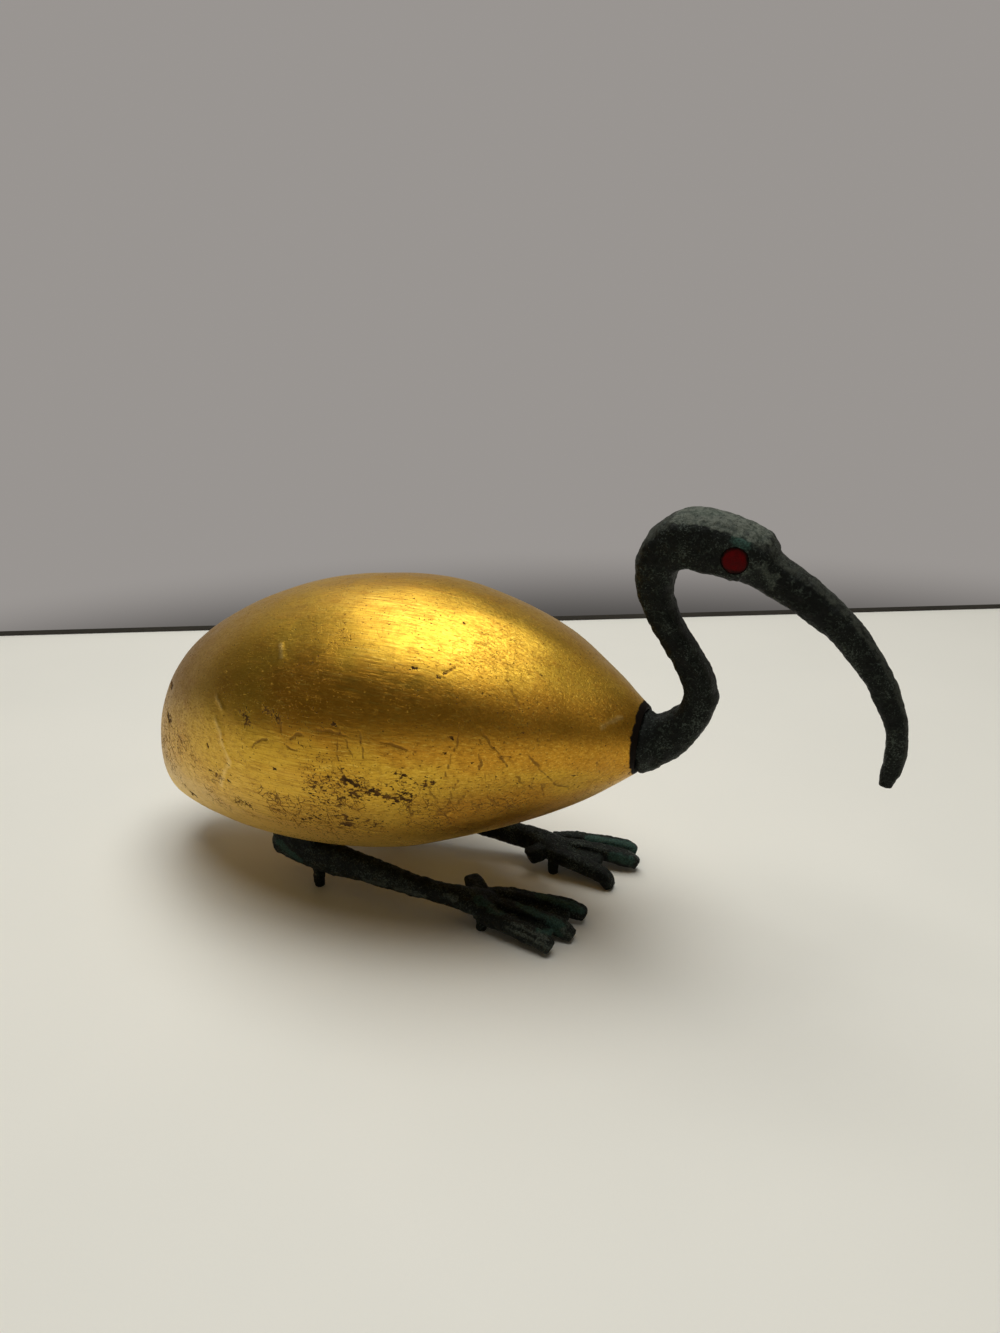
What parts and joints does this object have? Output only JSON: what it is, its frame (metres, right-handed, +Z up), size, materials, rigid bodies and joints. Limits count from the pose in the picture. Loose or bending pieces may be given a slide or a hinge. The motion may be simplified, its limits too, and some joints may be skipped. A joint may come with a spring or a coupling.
{
  "type": "thoth ibis figure",
  "caption": "Ibis lying on folded legs: an egg-shaped gilded wooden body, a curved bronze neck, head and long bill, bronze legs with webbed feet, and red inlaid eyes.",
  "frame": {"origin": "on the ground under the middle of the figure's box", "axes": "+X the way the bird faces, +Y its left side, +Z up"},
  "size_m": [0.3114, 0.1148, 0.1727],
  "materials": {
    "gilded_wood": "burnished gold leaf over a red ground, with fine scratches, cracks and worn brown specks",
    "bronze": "near-black green patina, grey-green on the raised faces, slightly pitted",
    "red_inlay": "dull deep red"
  },
  "bodies": {
    "root": {"body": "gilded_wood", "head_and_neck": "bronze", "right_leg": "bronze", "left_leg": "bronze", "right_eye": "red_inlay", "left_eye": "red_inlay"}
  },
  "joints": []
}
